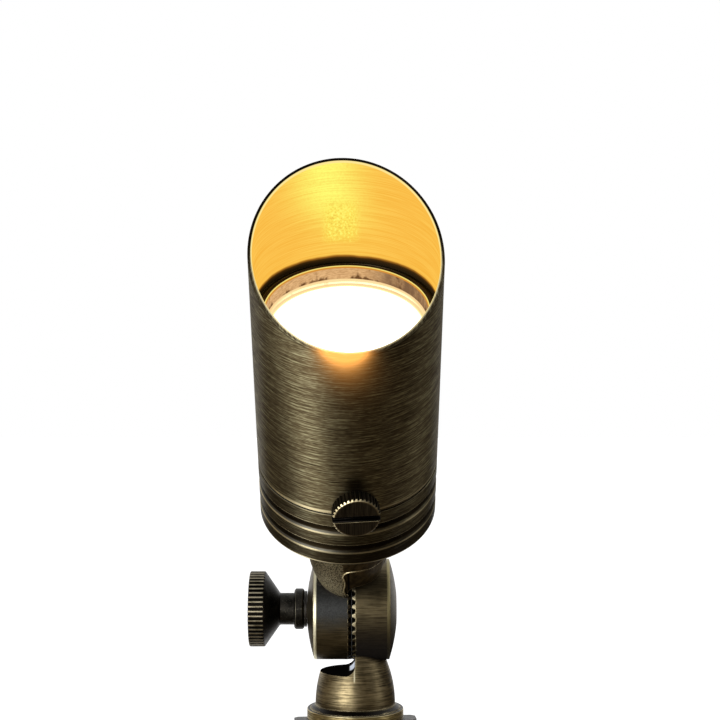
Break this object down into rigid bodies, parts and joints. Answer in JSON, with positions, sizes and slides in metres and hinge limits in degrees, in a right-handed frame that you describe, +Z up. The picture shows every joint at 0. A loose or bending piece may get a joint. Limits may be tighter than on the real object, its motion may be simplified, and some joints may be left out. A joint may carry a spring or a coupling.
{
  "type": "landscape spotlight",
  "caption": "Aged brass landscape spotlight with a slanted glare shroud, lit two-pin lamp, toothed tilting knuckle with a hand knob, and a ground stake.",
  "frame": {"origin": "on the stake's axis at soil level, the plane of the underside of the stake's cross-shaped head", "axes": "+Z up along the stake and the stem, +X along the knuckle's axis away from the knob, -Y towards where the head leans and shines"},
  "size_m": [0.0697, 0.1335, 0.3954],
  "materials": {
    "stake_plastic": "satin",
    "bush_brass": "satin",
    "rubber_black": "matt",
    "stem_bronze": "brushed, aged",
    "neck_bronze": "sand-cast, aged",
    "ring_brass": "polished",
    "knob_black": "blackened",
    "steel": "satin",
    "shroud_bronze": "brushed, aged",
    "screw_bronze": "brushed, aged",
    "nylon_white": "satin",
    "contact_brass": "satin",
    "lamp_shell": "satin",
    "lamp_glow": "lit",
    "collar_peach": "satin",
    "gasket_pale": "matt",
    "lens_glass": "clear"
  },
  "bodies": {
    "stake": {"ground_stake": "stake_plastic", "stake_bushing": "bush_brass", "lead_grommet": "rubber_black"},
    "stem": {"swivel_stem": "stem_bronze", "stem_ring": "ring_brass", "stem_washer": "rubber_black", "stem_nipple": "bush_brass", "knuckle_seal": "rubber_black"},
    "washer": {"knob_washer": "steel"},
    "knob": {"knuckle_knob": "knob_black", "knuckle_bolt": "steel"},
    "head": {"swivel_neck": "neck_bronze", "neck_seal": "rubber_black", "neck_nut": "steel", "lamp_housing": "shroud_bronze", "housing_seals": "rubber_black", "socket_bracket": "steel", "bracket_screws": "steel", "lamp_socket": "nylon_white", "socket_contacts": "contact_brass", "socket_leads": "nylon_white", "lamp_base": "nylon_white", "lamp_pins": "steel", "lamp_reflector": "lamp_shell", "led_board": "lamp_shell", "lamp_face": "lamp_glow", "lamp_collar": "collar_peach", "lens_gasket": "gasket_pale", "lens": "lens_glass", "lens_ring": "ring_brass"},
    "shroud_tube": {"shroud": "shroud_bronze"},
    "pad": {"screw_pad": "nylon_white"},
    "thumb_screw": {"shroud_screw": "screw_bronze"}
  },
  "joints": [
    {"name": "stem_swivel", "type": "hinge", "parent": "stake", "child": "stem", "pos_m": [0, 0, 0], "axis": [0, 0, 1], "range_deg": [-180, 180]},
    {"name": "head_tilt", "type": "hinge", "parent": "stem", "child": "head", "pos_m": [-0.0013, 0, 0.045], "axis": [1, 0, 0], "range_deg": [-127, 53]},
    {"name": "knob_travel", "type": "slide", "parent": "stem", "child": "washer", "axis": [-1, 0, 0], "range_m": [0, 0.00187]},
    {"name": "knob_turn", "type": "hinge", "parent": "washer", "child": "knob", "pos_m": [-0.0013, 0, 0.045], "axis": [-1, 0, 0], "range_deg": [0, 540]},
    {"name": "shroud_turn", "type": "hinge", "parent": "head", "child": "shroud_tube", "pos_m": [-0.0026, 0, 0.045], "axis": [0, -0.6018, 0.7986], "continuous": true},
    {"name": "screw_travel", "type": "slide", "parent": "shroud_tube", "child": "pad", "axis": [0.0872, -0.7956, -0.5995], "range_m": [0, 0.0014]},
    {"name": "screw_turn", "type": "hinge", "parent": "pad", "child": "thumb_screw", "pos_m": [0.00002, -0.07153, 0.09027], "axis": [0.0872, -0.7956, -0.5995], "range_deg": [0, 720]}
  ],
  "couplings": [
    {"joint": "knob_turn", "follows": "knob_travel", "rad_per_m": 5026.6},
    {"joint": "screw_turn", "follows": "screw_travel", "rad_per_m": 8976}
  ]
}
